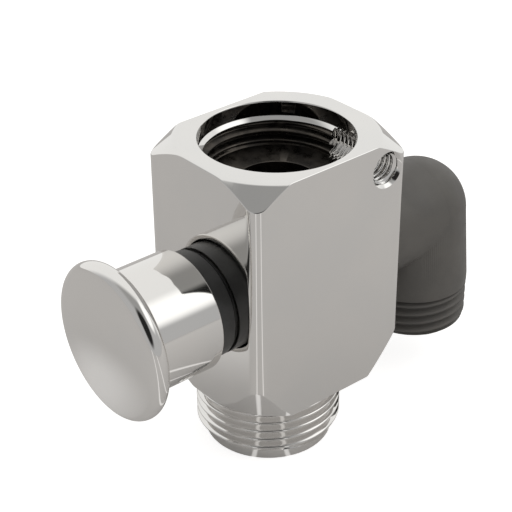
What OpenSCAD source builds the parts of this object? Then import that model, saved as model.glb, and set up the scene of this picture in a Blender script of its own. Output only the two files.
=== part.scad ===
// Shower diverter valve, in millimetres.
// Water comes in at the top and leaves below or through the elbow at the back. The knob on the front
// moves a poppet between two seats and a spring brings it back out.
// Origin: the centre of the lower outlet's end. +Z is up, the knob points along -Y and the set screw
// hole is in the +X face.

/* [Body] */
// Width of the body, across the face with the set screw hole
body_width = 29.4; // [28:0.1:34]
// Depth of the body, along the knob's axis
body_depth = 33.8; // [33:0.1:40]
// Height of the square body, without its threaded outlet
body_height = 46.2; // [44:0.1:56]
// Radius of the four upright edges
edge_radius = 2.4; // [1:0.1:3.5]
// Diameter at which the turned bevel starts on the top face
crown_diameter = 34.9; // [31:0.1:37]
// Fall of the top bevel at the corners
crown_fall = 3.3; // [1:0.1:5]
// Diameter at which the turned bevel starts on the underside
base_diameter = 34.7; // [31:0.1:37]
// Rise of the lower bevel at the corners
base_rise = 7.4; // [3:0.1:9]
// Height of the knob's and the elbow's common axis
axis_height = 32.5; // [31.5:0.1:35]
// Distance from the outlet's axis back to the inlet's axis
inlet_offset = 2.2; // [0:0.1:3]

/* [Inlet] */
// Diameter of the smooth mouth
inlet_mouth = 26.9; // [26.6:0.1:27.2]
// Depth of the smooth mouth
mouth_depth = 2.85; // [2:0.05:4]
// Height of the sloped ledge under the mouth
ledge_height = 0.75; // [0.4:0.05:1.2]
// Inner diameter of the ledge
ledge_diameter = 25; // [24.6:0.1:26]
// Diameter over the crests of the inlet's thread
inlet_crest = 24.2; // [23.8:0.1:24.5]
// Depth of the inlet's floor below the top face
floor_depth = 7.9; // [6.5:0.1:9]
// Fall of the floor towards its middle
floor_fall = 0.9; // [0.3:0.1:1.5]
// Diameter of the chamber under the floor
chamber_diameter = 14.4; // [12:0.1:16]
// Depth of the chamber's bottom below the top face
chamber_depth = 13.6; // [12:0.1:14]

/* [Outlet] */
// Diameter over the crests of the outlet's thread
outlet_thread = 26.44; // [26:0.02:27]
// Length of the outlet below the body
outlet_length = 12.6; // [10:0.1:16]
// Diameter of the plain tip
tip_diameter = 23.4; // [22.6:0.1:24]
// Length of the plain tip
tip_length = 2; // [1:0.1:3]
// Bore of the outlet
outlet_bore = 19; // [16:0.1:20]
// Depth of the outlet's bore, up from its end
outlet_bore_depth = 18.4; // [14:0.1:19]
// Diameter of the ports between the bores and the cartridge
port_diameter = 6.4; // [5:0.1:6.6]

/* [Set screw hole] */
// Diameter over the crests of the thread in the set screw hole
screw_crest = 5; // [3.2:0.1:5.4]
// Diameter of its countersink
screw_sink = 6.6; // [6.4:0.1:7]
// Depth of its countersink
sink_depth = 0.8; // [0.3:0.1:1.2]
// Depth of its axis below the top face
screw_drop = 5; // [4.2:0.1:6.5]
// Distance of its axis behind the inlet's axis
screw_back = 11.8; // [10:0.1:12]

/* [Front and rear ports] */
// Diameter of the front port, which takes the collar
front_port = 18; // [17.6:0.1:18.6]
// Depth of the front port
front_port_depth = 5; // [4:0.1:6]
// Diameter of the rear port, which takes the elbow
rear_port = 16.66; // [16.2:0.02:17.4]
// Depth of the rear port
rear_port_depth = 6.5; // [6:0.1:8]
// Thickness of the shoulder behind the cartridge
shoulder_width = 1.3; // [1:0.1:2]
// Diameter of the opening in that shoulder
shoulder_opening = 12; // [10:0.1:13]

/* [Cartridge] */
// Bore that holds the cartridge
cartridge_bore = 16; // [15.6:0.1:16.6]
// Wall of the cartridge's sleeve
sleeve_wall = 2.3; // [2:0.1:2.6]
// Length of each window along the sleeve
window_length = 6; // [4.5:0.1:6.4]
// Width of each window across the sleeve
window_width = 7; // [5:0.1:8]
// Width of the land between the two windows
land_width = 4; // [3.6:0.1:5]
// Thickness of the front seat inside the sleeve
seat_thickness = 2.2; // [1.6:0.1:3]
// Opening of both seats
seat_opening = 7.2; // [6.8:0.1:7.8]
// Height of each seat's raised lip
lip_height = 0.4; // [0.2:0.1:0.6]
// Section diameter of the two rings on the sleeve
sleeve_ring = 1.6; // [1.4:0.1:1.7]
// Length of the rear seat ring
rear_seat_length = 3; // [2.5:0.1:4]

/* [Poppet and stem] */
// How far the knob goes in
travel = 3.3; // [2:0.1:3.4]
// Diameter of the poppet's flange
poppet_diameter = 9.4; // [9:0.1:9.8]
// Thickness of each rubber face
seal_thickness = 1.2; // [0.9:0.1:1.4]
// Diameter of the poppet's hub
poppet_hub = 5.4; // [5:0.1:5.8]
// Diameter of the stem
stem_diameter = 3.8; // [3:0.1:4]
// Diameter of the stem's threaded tail
tail_diameter = 2.5; // [2:0.1:2.7]
// Thickness of the washer under the nut
washer_thickness = 0.5; // [0.4:0.1:0.8]
// Width of the nut across its flats
nut_flats = 4.6; // [4.2:0.1:5]
// Thickness of the nut
nut_thickness = 1.5; // [1.2:0.1:2]

/* [Collar] */
// Diameter of the collar outside the body
collar_diameter = 19.4; // [18.8:0.1:19.5]
// Length of the collar outside the body
collar_length = 8.2; // [6.5:0.1:9]
// Width of the thin groove at the collar's foot
foot_groove = 0.4; // [0.2:0.1:0.6]
// Depth of the thin groove at the collar's foot
foot_depth = 0.5; // [0.2:0.1:0.6]
// Bore of the pocket that holds the return spring
pocket_bore = 14; // [13.4:0.1:15]
// Depth of that pocket
pocket_depth = 5.4; // [4:0.1:6]
// Section diameter of the stem's two rings
stem_ring = 1.8; // [1.5:0.1:2]
// Thickness of the washer that holds them in
gland_thickness = 1; // [0.8:0.1:1.4]
// Section diameter of the ring that seals the collar
bonnet_ring = 1.6; // [1.4:0.1:1.7]

/* [Spring] */
// Diameter of the spring's wire
wire_diameter = 0.9; // [0.6:0.1:1]
// Diameter of the spring, wire to wire
spring_diameter = 11.2; // [10.4:0.1:11.8]
// Number of working turns
spring_turns = 4; // [3:0.5:5]
// Thickness of the washer under the spring
seat_washer = 0.6; // [0.4:0.1:0.8]

/* [Knob] */
// Diameter of the domed disc
disc_diameter = 28.6; // [26:0.1:32]
// Thickness of the disc's rounded rim
rim_thickness = 3.2; // [2.4:0.1:4]
// Height of the dome over the rim
dome_height = 1.5; // [0.8:0.1:2.5]
// Outer diameter of the skirt
skirt_diameter = 21.8; // [21.4:0.1:23]
// Wall of the skirt
skirt_wall = 0.9; // [0.7:0.05:1]
// Length of the skirt behind the disc
skirt_length = 12.9; // [12:0.1:15]
// Gap between the skirt's end and the body, knob out
skirt_gap = 3.8; // [3.7:0.1:4.5]
// Wall of the knob behind its dome
cap_wall = 1.3; // [1:0.1:2]
// Thickness of the core's plate
core_plate = 4.6; // [3.5:0.1:5.5]
// Diameter of the core's hub
hub_diameter = 8.4; // [7:0.1:9]
// Length of the core's hub
hub_length = 2.5; // [1.5:0.1:3.5]

/* [Elbow] */
// Distance from the body's back face to the leg's axis
elbow_reach = 17.6; // [16:0.1:22]
// Diameter of the elbow's arm and corner
arm_diameter = 19; // [18.4:0.1:20]
// Diameter over the crests of the elbow's thread
hose_thread = 20.96; // [20.6:0.02:21.4]
// Length of that thread
hose_thread_length = 7.9; // [7:0.1:11]
// Height of the elbow's lower end above the outlet's end
elbow_end_height = 9.3; // [4:0.1:12]
// Bore of the elbow's arm
arm_bore = 10.8; // [9:0.1:11.4]
// Bore of the elbow's leg and corner
leg_bore = 14; // [12:0.1:15]
// Depth of the bevel at the thread's end
thread_bevel = 0.6; // [0.3:0.1:1]
// Section diameter of the elbow's ring
elbow_ring = 1.6; // [1.4:0.1:1.8]

/* [Fits] */
// Radial clearance of a part that is pressed or screwed in
fixed_fit = 0.05; // [0.02:0.01:0.08]
// Radial clearance of a part that slides
sliding_fit = 0.08; // [0.05:0.01:0.1]
// Gap between faces that only just meet
face_gap = 0.05; // [0.02:0.01:0.1]

/* [Hidden] */
$fn = 96;
// Length by which a cut runs past the face that it opens
past = 1;

// Colours
chrome = [0.80, 0.80, 0.79];
dark_plastic = [0.17, 0.17, 0.17];
grey_plastic = [0.33, 0.32, 0.30];
rubber = [0.10, 0.10, 0.10];
white_plastic = [0.88, 0.88, 0.85];
steel = [0.66, 0.67, 0.68];

// Stations along Z
body_bottom = outlet_length;
body_top = outlet_length + body_height;
floor_height = body_top - floor_depth;
chamber_bottom = body_top - chamber_depth;

// Stations along Y, from the knob to the elbow
front_face = inlet_offset - body_depth / 2;
back_face = inlet_offset + body_depth / 2;
sleeve_start = front_face + front_port_depth;
rear_port_floor = back_face - rear_port_depth;
sleeve_end = rear_port_floor - shoulder_width;
sleeve_radius = cartridge_bore / 2 - fixed_fit;
sleeve_bore = sleeve_radius - sleeve_wall;

// The rear ring's groove, the inlet window, the land and the outlet window lie one before the other
groove_margin = 0.9;
groove_width = sleeve_ring + 0.3;
rear_groove = sleeve_end - groove_margin - groove_width / 2;
inlet_window = rear_groove - groove_width / 2 - groove_margin - window_length / 2;
land = inlet_window - window_length / 2 - land_width / 2;
outlet_window = land - land_width / 2 - window_length / 2;

// Seats and the poppet between them
front_seat = land + seat_thickness / 2;
rear_seat = sleeve_end - rear_seat_length;
poppet_room = rear_seat - front_seat - 2 * lip_height;
poppet_length = poppet_room - travel - 2 * face_gap;
poppet_start = front_seat + lip_height + face_gap;
poppet_end = poppet_start + poppet_length;
flange_thickness = poppet_length - 2 * seal_thickness;

// Collar and its gland
collar_end = front_face - collar_length;
pocket_floor = collar_end + pocket_depth;
nose_length = bonnet_ring + 0.3;
nose_radius = front_port / 2 - fixed_fit - bonnet_ring - 0.05;
stem_radius = stem_diameter / 2;
gland_radius = stem_radius + sliding_fit + stem_ring;
gland_length = 2 * stem_ring + gland_thickness + 0.2;
gland_start = sleeve_start - face_gap - gland_length;

// Knob, in its rest place out from the body
skirt_end = front_face - skirt_gap;
disc_back = skirt_end - skirt_length;
rim_plane = disc_back - rim_thickness / 2;
dome_top = disc_back - rim_thickness - dome_height;
cavity_end = disc_back - rim_thickness - dome_height + cap_wall + dome_height / 2;
core_face = cavity_end + core_plate;
core_end = core_face + hub_length;
cavity_radius = skirt_diameter / 2 - skirt_wall;
stem_start = cavity_end + cap_wall;
stem_end = poppet_end + washer_thickness + nut_thickness + 0.6;

// Elbow
elbow_axis = back_face + elbow_reach;
leg_top = axis_height;
thread_top = elbow_end_height + hose_thread_length;
spigot_end = rear_port_floor + 0.3;
spigot_radius = rear_port / 2 - fixed_fit;
elbow_ring_place = spigot_end + 1 + elbow_ring / 2;
// How much wider the round corner is than the tubes that meet in it
corner_growth = 0.06;

// A round bar along Y from one station to another, on the valve's cross axis
module along_y(from, to, d1, d2) {
    translate([0, from, axis_height])
        rotate([-90, 0, 0])
            cylinder(h = to - from, d1 = d1, d2 = d2);
}

// A straight round bar along Y
module bar_y(from, to, d) {
    along_y(from, to, d, d);
}

// A shape turned about the cross axis: its points are [radius, station]
module turned_y(points) {
    translate([0, 0, axis_height])
        rotate([-90, 0, 0])
            rotate_extrude()
                polygon(points);
}

// A rubber ring around the cross axis: its inner radius, section and station
module ring_y(inner, section, station) {
    translate([0, station, axis_height])
        rotate([-90, 0, 0])
            rotate_extrude($fn = 72)
                translate([inner + section / 2, 0])
                    circle(d = section, $fn = 24);
}

// Plan of the body: a rectangle with round corners
module body_plan() {
    square([body_width - 2 * edge_radius, body_depth], center = true);
    square([body_width, body_depth - 2 * edge_radius], center = true);
    for (x = [-1, 1], y = [-1, 1])
        translate([x * (body_width / 2 - edge_radius), y * (body_depth / 2 - edge_radius)])
            circle(r = edge_radius, $fn = 48);
}

// The body's block: its plan drawn up, then bevelled in the lathe like a nut
module body_block() {
    corner = norm([body_width / 2 - edge_radius, body_depth / 2 - edge_radius]) + edge_radius;
    top_slope = crown_fall / (corner - crown_diameter / 2);
    base_slope = base_rise / (corner - base_diameter / 2);
    reach = corner + past;
    translate([0, inlet_offset, 0])
        intersection() {
            translate([0, 0, body_bottom])
                linear_extrude(body_height)
                    body_plan();
            rotate_extrude($fn = 180)
                polygon([
                    [0, body_bottom],
                    [base_diameter / 2, body_bottom],
                    [reach, body_bottom + base_slope * (reach - base_diameter / 2)],
                    [reach, body_top - top_slope * (reach - crown_diameter / 2)],
                    [crown_diameter / 2, body_top],
                    [0, body_top]
                ]);
        }
}

// The outlet's outside: the threaded length at its crests, and the plain tip
module outlet_outside() {
    rotate_extrude()
        polygon([
            [0, 0],
            [tip_diameter / 2 - 0.5, 0],
            [tip_diameter / 2, 0.5],
            [tip_diameter / 2, tip_length],
            [outlet_thread / 2, tip_length + (outlet_thread - tip_diameter) / 4],
            [outlet_thread / 2, body_bottom + 1],
            [0, body_bottom + 1]
        ]);
}

// The inlet: mouth, ledge, thread at its crests, dished floor, chamber and its drilled end
module inlet_inside() {
    drill_tip = chamber_diameter / 2 * tan(31);
    translate([0, inlet_offset, 0])
        rotate_extrude()
            polygon([
                [0, body_top + past],
                [inlet_mouth / 2 + 0.3, body_top + past],
                [inlet_mouth / 2 + 0.3, body_top],
                [inlet_mouth / 2, body_top - 0.3],
                [inlet_mouth / 2, body_top - mouth_depth],
                [ledge_diameter / 2, body_top - mouth_depth - ledge_height],
                [inlet_crest / 2, body_top - mouth_depth - ledge_height],
                [inlet_crest / 2, floor_height],
                [chamber_diameter / 2, floor_height - floor_fall],
                [chamber_diameter / 2, chamber_bottom],
                [0, chamber_bottom - drill_tip * 0.4]
            ]);
    translate([0, inlet_window, axis_height])
        cylinder(h = chamber_bottom + 0.1 - axis_height, d = port_diameter, $fn = 64);
}

// The outlet's bore and the port that feeds it
module outlet_inside() {
    drill_tip = outlet_bore / 2 * tan(31) * 0.4;
    rotate_extrude()
        polygon([
            [0, -past],
            [outlet_bore / 2, -past],
            [outlet_bore / 2, outlet_bore_depth],
            [0, outlet_bore_depth + drill_tip]
        ]);
    translate([0, outlet_window, outlet_bore_depth - 0.1])
        cylinder(h = axis_height - outlet_bore_depth, d = port_diameter, $fn = 64);
}

// The stepped bore along the cross axis
module cross_bores() {
    bar_y(front_face - past, sleeve_start, front_port);
    bar_y(sleeve_start - 0.1, sleeve_end, cartridge_bore);
    bar_y(sleeve_end - 0.1, rear_port_floor + 0.1, shoulder_opening);
    bar_y(rear_port_floor, back_face + past, rear_port);
    along_y(back_face - 0.5, back_face + 0.01, rear_port, rear_port + 1.02);
}

// The set screw hole, from the side face into the inlet
module screw_hole() {
    translate([0, inlet_offset + screw_back, body_top - screw_drop])
        rotate([0, 90, 0]) {
            cylinder(h = body_width / 2 + past, d = screw_crest, $fn = 64);
            translate([0, 0, body_width / 2 - sink_depth])
                cylinder(h = sink_depth + 0.01, d1 = screw_crest, d2 = screw_sink, $fn = 64);
        }
}

module valve_body() {
    color(chrome)
        difference() {
            union() {
                body_block();
                outlet_outside();
            }
            inlet_inside();
            outlet_inside();
            cross_bores();
            screw_hole();
        }
}

// The collar: threaded foot in the body, grooved neck outside, spring pocket and gland
module bonnet_collar() {
    foot = front_port / 2 - fixed_fit;
    color(dark_plastic)
        difference() {
            turned_y([
                [0, sleeve_start - face_gap],
                [nose_radius, sleeve_start - face_gap],
                [nose_radius, sleeve_start - nose_length],
                [foot, sleeve_start - nose_length],
                [foot, front_face - face_gap],
                [collar_diameter / 2 - foot_depth, front_face - face_gap],
                [collar_diameter / 2 - foot_depth, front_face - face_gap - foot_groove],
                [collar_diameter / 2, front_face - face_gap - foot_groove],
                [collar_diameter / 2, collar_end + 0.4],
                [collar_diameter / 2 - 0.4, collar_end],
                [0, collar_end]
            ]);
            bar_y(collar_end - past, pocket_floor, pocket_bore);
            bar_y(pocket_floor - 0.1, gland_start + 0.1, 2 * (stem_radius + sliding_fit));
            bar_y(gland_start, sleeve_start + past, 2 * gland_radius);
        }
}

module bonnet_o_ring() {
    color(rubber)
        ring_y(nose_radius + 0.02, bonnet_ring, sleeve_start - nose_length / 2);
}

module stem_o_ring(index) {
    color(rubber)
        ring_y(stem_radius + sliding_fit / 2, stem_ring, gland_start + 0.04 + stem_ring * (index + 0.5));
}

module gland_washer() {
    start = sleeve_start - face_gap - gland_thickness;
    color(steel)
        difference() {
            bar_y(start, start + gland_thickness, 2 * (gland_radius - fixed_fit / 2));
            bar_y(start - past, start + gland_thickness + past, 2 * (stem_radius + 2 * sliding_fit));
        }
}

module spring_washer() {
    start = pocket_floor - seat_washer;
    color(steel)
        difference() {
            bar_y(start, pocket_floor, pocket_bore - 2 * fixed_fit);
            bar_y(start - past, pocket_floor + past, hub_diameter + 1);
        }
}

// One window through the sleeve's wall: up is 1 for the top and -1 for the underside
module sleeve_window(station, up) {
    depth = up > 0 ? 0 : -(sleeve_radius + past);
    translate([-window_width / 2, station - window_length / 2, axis_height + depth])
        cube([window_width, window_length, sleeve_radius + past]);
}

// The sleeve: two ring grooves, one window up and one down, and the front seat with its lip
module cartridge_sleeve() {
    groove_radius = sleeve_radius - sleeve_ring;
    lip = 0.7;
    color(white_plastic)
        difference() {
            turned_y([
                [sleeve_bore, sleeve_start],
                [sleeve_radius, sleeve_start],
                [sleeve_radius, land - groove_width / 2],
                [groove_radius, land - groove_width / 2],
                [groove_radius, land + groove_width / 2],
                [sleeve_radius, land + groove_width / 2],
                [sleeve_radius, rear_groove - groove_width / 2],
                [groove_radius, rear_groove - groove_width / 2],
                [groove_radius, rear_groove + groove_width / 2],
                [sleeve_radius, rear_groove + groove_width / 2],
                [sleeve_radius, sleeve_end - face_gap],
                [sleeve_bore, sleeve_end - face_gap],
                [sleeve_bore, front_seat],
                [seat_opening / 2 + lip, front_seat],
                [seat_opening / 2 + lip / 2, front_seat + lip_height],
                [seat_opening / 2, front_seat + lip_height],
                [seat_opening / 2, front_seat - seat_thickness],
                [sleeve_bore, front_seat - seat_thickness]
            ]);
            sleeve_window(inlet_window, 1);
            sleeve_window(outlet_window, -1);
        }
}

module sleeve_o_ring(station) {
    color(rubber)
        ring_y(cartridge_bore / 2 - 0.02 - sleeve_ring, sleeve_ring, station);
}

// The rear seat: a ring pressed into the sleeve's end, its lip towards the poppet
module rear_seat_ring() {
    lip = 0.7;
    outer = sleeve_bore - fixed_fit / 2;
    color(white_plastic)
        turned_y([
            [seat_opening / 2, rear_seat - lip_height],
            [seat_opening / 2 + lip / 2, rear_seat - lip_height],
            [seat_opening / 2 + lip, rear_seat],
            [outer, rear_seat],
            [outer, sleeve_end - face_gap],
            [seat_opening / 2 + 0.6, sleeve_end - face_gap],
            [seat_opening / 2, sleeve_end - face_gap - 0.6]
        ]);
}

// Outside of the elbow's leg: it widens from the arm to the shoulder over the thread
module elbow_leg() {
    shoulder = hose_thread / 2 + 0.05;
    translate([0, elbow_axis, 0])
        rotate_extrude()
            polygon([
                [0, elbow_end_height],
                [hose_thread / 2 - thread_bevel, elbow_end_height],
                [hose_thread / 2, elbow_end_height + thread_bevel],
                [hose_thread / 2, thread_top],
                [shoulder, thread_top + 0.1],
                [shoulder, thread_top + 1.6],
                [arm_diameter / 2, leg_top],
                [0, leg_top]
            ]);
}

// The elbow: spigot in the body, arm, round corner and leg, bored right through
module hose_elbow() {
    ring_floor = rear_port / 2 - elbow_ring - 0.02;
    color(grey_plastic)
        difference() {
            union() {
                turned_y([
                    [0, spigot_end],
                    [spigot_radius - 0.4, spigot_end],
                    [spigot_radius, spigot_end + 0.4],
                    [spigot_radius, elbow_ring_place - elbow_ring / 2 - 0.15],
                    [ring_floor, elbow_ring_place - elbow_ring / 2 - 0.15],
                    [ring_floor, elbow_ring_place + elbow_ring / 2 + 0.15],
                    [spigot_radius, elbow_ring_place + elbow_ring / 2 + 0.15],
                    [spigot_radius, back_face + face_gap],
                    [arm_diameter / 2, back_face + face_gap],
                    [arm_diameter / 2, elbow_axis],
                    [0, elbow_axis]
                ]);
                translate([0, elbow_axis, axis_height])
                    sphere(d = arm_diameter + corner_growth);
                elbow_leg();
            }
            bar_y(spigot_end - past, elbow_axis, arm_bore);
            translate([0, elbow_axis, axis_height])
                sphere(d = leg_bore + corner_growth);
            translate([0, elbow_axis, elbow_end_height - past])
                cylinder(h = axis_height - elbow_end_height + past, d = leg_bore);
        }
}

module elbow_o_ring() {
    color(rubber)
        ring_y(rear_port / 2 - 0.01 - elbow_ring, elbow_ring, elbow_ring_place);
}

// The knob's cap: domed disc with a round rim, and the hollow skirt behind it
module knob_cap() {
    rim = rim_thickness / 2;
    disc = disc_diameter / 2;
    dome_base = disc - rim;
    dome_radius = (dome_base * dome_base + dome_height * dome_height) / (2 * dome_height);
    dome_steps = 10;
    dome_angle = asin(dome_base / dome_radius);
    rim_steps = 16;
    dome = [for (i = [0 : dome_steps]) let (a = dome_angle * i / dome_steps)
        [dome_radius * sin(a), dome_top + dome_radius * (1 - cos(a))]];
    edge = [for (i = [1 : rim_steps]) let (a = 180 * i / rim_steps)
        [dome_base + rim * sin(a), rim_plane - rim * cos(a)]];
    color(chrome)
        difference() {
            turned_y(concat(dome, edge, [
                [skirt_diameter / 2 + 0.6, disc_back],
                [skirt_diameter / 2, disc_back + 0.6],
                [skirt_diameter / 2, skirt_end - 0.25],
                [skirt_diameter / 2 - 0.25, skirt_end],
                [0, skirt_end]
            ]));
            bar_y(cavity_end, skirt_end + past, 2 * cavity_radius);
        }
}

// The core: a plate that fills the cap's cavity, and the hub that takes the stem
module knob_core() {
    color(white_plastic)
        difference() {
            union() {
                bar_y(cavity_end + face_gap, core_face, 2 * (cavity_radius - fixed_fit));
                bar_y(core_face - 0.1, core_end, hub_diameter);
            }
            bar_y(stem_start, core_end + past, stem_diameter + 0.04);
        }
}

// The stem: rod with a bevelled start, and the thin threaded tail that carries the poppet
module stem() {
    color(steel)
        turned_y([
            [0, stem_start + face_gap],
            [stem_radius - 0.4, stem_start + face_gap],
            [stem_radius, stem_start + face_gap + 0.4],
            [stem_radius, poppet_start + face_gap],
            [tail_diameter / 2, poppet_start + face_gap],
            [tail_diameter / 2, stem_end - 0.3],
            [tail_diameter / 2 - 0.3, stem_end],
            [0, stem_end]
        ]);
}

// The spring: one tube swept along its helix, with an end turn flat at both ends
module return_spring() {
    start = core_face + wire_diameter / 2 + face_gap;
    end = pocket_floor - seat_washer - wire_diameter / 2 - face_gap;
    sides = 8;
    steps = 12;
    flat_turns = 0.75;
    turns = spring_turns + 2 * flat_turns;
    count = floor(turns * steps);
    rise = end - start - 2 * wire_diameter * flat_turns;
    function height(t) = start + (
        t < flat_turns ? wire_diameter * t :
        t > turns - flat_turns ? wire_diameter * (t - turns + 2 * flat_turns) + rise :
        wire_diameter * flat_turns + rise * (t - flat_turns) / spring_turns);
    points = [for (i = [0 : count]) let (t = i / steps, a = 360 * t)
        for (k = [0 : sides - 1]) let (
            b = 360 * k / sides,
            r = spring_diameter / 2 + wire_diameter / 2 * cos(b)
        )
        [r * cos(a), height(t) + wire_diameter / 2 * sin(b), axis_height + r * sin(a)]];
    faces = concat(
        [[for (k = [0 : sides - 1]) k]],
        [for (i = [0 : count - 1], k = [0 : sides - 1]) let (n = (k + 1) % sides)
            [i * sides + k, (i + 1) * sides + k, (i + 1) * sides + n, i * sides + n]],
        [[for (k = [sides - 1 : -1 : 0]) count * sides + k]]
    );
    color(steel)
        polyhedron(points, faces);
}

// The poppet: a flange between two hubs that carry the rubber faces
module poppet() {
    color(white_plastic)
        difference() {
            turned_y([
                [0, poppet_start + face_gap],
                [poppet_hub / 2, poppet_start + face_gap],
                [poppet_hub / 2, poppet_start + seal_thickness],
                [poppet_diameter / 2, poppet_start + seal_thickness],
                [poppet_diameter / 2, poppet_end - seal_thickness],
                [poppet_hub / 2, poppet_end - seal_thickness],
                [poppet_hub / 2, poppet_end],
                [0, poppet_end]
            ]);
            bar_y(poppet_start - past, poppet_end + past, tail_diameter + 0.04);
        }
}

module poppet_seal(start) {
    color(rubber)
        difference() {
            bar_y(start, start + seal_thickness, poppet_diameter - 0.1);
            bar_y(start - past, start + seal_thickness + past, poppet_hub + 0.02);
        }
}

module poppet_washer() {
    color(steel)
        difference() {
            bar_y(poppet_end, poppet_end + washer_thickness, seat_opening - 0.8);
            bar_y(poppet_end - past, poppet_end + washer_thickness + past, tail_diameter + 0.04);
        }
}

module stem_nut() {
    start = poppet_end + washer_thickness;
    color(steel)
        difference() {
            translate([0, start, axis_height])
                rotate([-90, 0, 0])
                    cylinder(h = nut_thickness, d = nut_flats / cos(30), $fn = 6);
            bar_y(start - past, start + nut_thickness + past, tail_diameter + 0.04);
        }
}

valve_body();
bonnet_collar();
bonnet_o_ring();
stem_o_ring(0);  // stem_o_ring_front
stem_o_ring(1);  // stem_o_ring_rear
gland_washer();
spring_washer();
cartridge_sleeve();
sleeve_o_ring(land);  // sleeve_o_ring_middle
sleeve_o_ring(rear_groove);  // sleeve_o_ring_rear
rear_seat_ring();
hose_elbow();
elbow_o_ring();
knob_cap();
knob_core();
stem();
return_spring();
poppet();
poppet_seal(poppet_start);  // poppet_seal_front
poppet_seal(poppet_end - seal_thickness);  // poppet_seal_rear
poppet_washer();
stem_nut();
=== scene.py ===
"""Looks of the shower diverter valve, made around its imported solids.

Sizes are written in millimetres and turned into metres when a piece becomes a mesh. The valve stands on
its lower outlet: +Z is up, the knob points along -Y and the elbow leaves along +Y.
"""

from __future__ import annotations

import logging
import math
from collections.abc import Sequence
from dataclasses import dataclass, field
from enum import Enum
from typing import ClassVar

import bmesh
import bpy
import numpy as np
from mathutils import Matrix, Vector

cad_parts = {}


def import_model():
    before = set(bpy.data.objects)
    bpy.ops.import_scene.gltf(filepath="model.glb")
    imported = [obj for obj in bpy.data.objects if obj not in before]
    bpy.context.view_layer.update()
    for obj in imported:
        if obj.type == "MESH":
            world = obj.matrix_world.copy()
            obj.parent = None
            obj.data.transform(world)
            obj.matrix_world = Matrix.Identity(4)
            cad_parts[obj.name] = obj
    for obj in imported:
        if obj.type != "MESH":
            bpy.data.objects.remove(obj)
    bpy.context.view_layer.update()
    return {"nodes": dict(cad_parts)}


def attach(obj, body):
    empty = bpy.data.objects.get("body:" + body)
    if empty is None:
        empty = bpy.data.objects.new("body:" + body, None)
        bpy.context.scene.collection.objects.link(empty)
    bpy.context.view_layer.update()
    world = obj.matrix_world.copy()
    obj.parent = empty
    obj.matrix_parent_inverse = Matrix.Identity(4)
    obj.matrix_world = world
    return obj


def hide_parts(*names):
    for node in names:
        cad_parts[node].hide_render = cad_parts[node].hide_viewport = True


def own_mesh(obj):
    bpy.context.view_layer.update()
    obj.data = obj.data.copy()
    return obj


log = logging.getLogger("diverter_valve")

MM = 0.001
AXIS_HEIGHT = 32.5
INLET_Y = 2.2
PHOTO_SIDE = 512

Points = np.ndarray
Colour = tuple[float, float, float]


class Skin(Enum):
    """Which finish a face of a piece gets, counted in the order of its material slots."""

    OUTSIDE = 0
    BORE = 1


class Axis(Enum):
    """The direction of the line that a turned piece is turned about."""

    UPRIGHT = "z"
    CROSS = "y"
    SIDEWAYS = "x"


@dataclass(frozen=True)
class Spindle:
    """The line that a piece is turned about.

    Attributes:
        axis: direction of the line.
        centre: a point on the line, in millimetres; its coordinate along the line isn't used.
    """

    axis: Axis
    centre: tuple[float, float, float] = (0.0, 0.0, AXIS_HEIGHT)

    def place(self, across: Points, aside: Points, along: Points) -> Points:
        """Turns coordinates on the spindle into points of the valve.

        Args:
            across: first coordinate square to the line.
            aside: second coordinate square to the line.
            along: coordinate along the line.

        Returns:
            An array of points, one row each.
        """
        x, y, z = self.centre
        if self.axis is Axis.UPRIGHT:
            return np.stack([x + across, y + aside, along], 1)
        if self.axis is Axis.CROSS:
            return np.stack([x + across, along, z - aside], 1)
        return np.stack([along, y + aside, z - across], 1)

    def ring(self, radius: float | Points, along: float | Points, angles: Points) -> Points:
        """A ring of points about the line.

        Args:
            radius: one radius, or one for each angle.
            along: one station along the line, or one for each angle.
            angles: where the points lie, in radians.

        Returns:
            The ring's points.
        """
        radius = np.broadcast_to(radius, angles.shape)
        along = np.broadcast_to(along, angles.shape)
        return self.place(radius * np.cos(angles), radius * np.sin(angles), along)

    def tip(self, along: float) -> Points:
        """The one point of the line at a station."""
        return self.place(np.zeros(1), np.zeros(1), np.full(1, along))


def even_angles(columns: int) -> Points:
    """Angles that part a full turn evenly."""
    return np.linspace(0.0, 2.0 * math.pi, columns, endpoint=False)


def rounded(corners: Sequence[tuple[float, float, float]], steps: int = 5) -> list[tuple[float, float]]:
    """Rounds the corners of a profile.

    Args:
        corners: each corner's radius from the axis, its station, and the radius of its rounding.
        steps: how many flats make up one rounding.

    Returns:
        The profile's points.
    """
    out: list[tuple[float, float]] = []
    for i, (r, s, size) in enumerate(corners):
        if size <= 0.0 or i in (0, len(corners) - 1):
            out.append((r, s))
            continue
        here = np.array([r, s])
        back = np.array(corners[i - 1][:2]) - here
        ahead = np.array(corners[i + 1][:2]) - here
        room = 0.49 * min(np.linalg.norm(back), np.linalg.norm(ahead))
        back, ahead = back / np.linalg.norm(back), ahead / np.linalg.norm(ahead)
        half = 0.5 * math.acos(max(-1.0, min(1.0, float(back @ ahead))))
        size = min(size, room * math.tan(half))
        middle = here + (back + ahead) / np.linalg.norm(back + ahead) * size / math.sin(half)
        first = here + back * size / math.tan(half) - middle
        last = here + ahead * size / math.tan(half) - middle
        turn = math.atan2(first[0] * last[1] - first[1] * last[0], float(first @ last))
        for k in range(steps + 1):
            a = turn * k / steps
            spoke = np.array([
                first[0] * math.cos(a) - first[1] * math.sin(a),
                first[0] * math.sin(a) + first[1] * math.cos(a),
            ])
            out.append((float(middle[0] + spoke[0]), float(middle[1] + spoke[1])))
    return out


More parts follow.
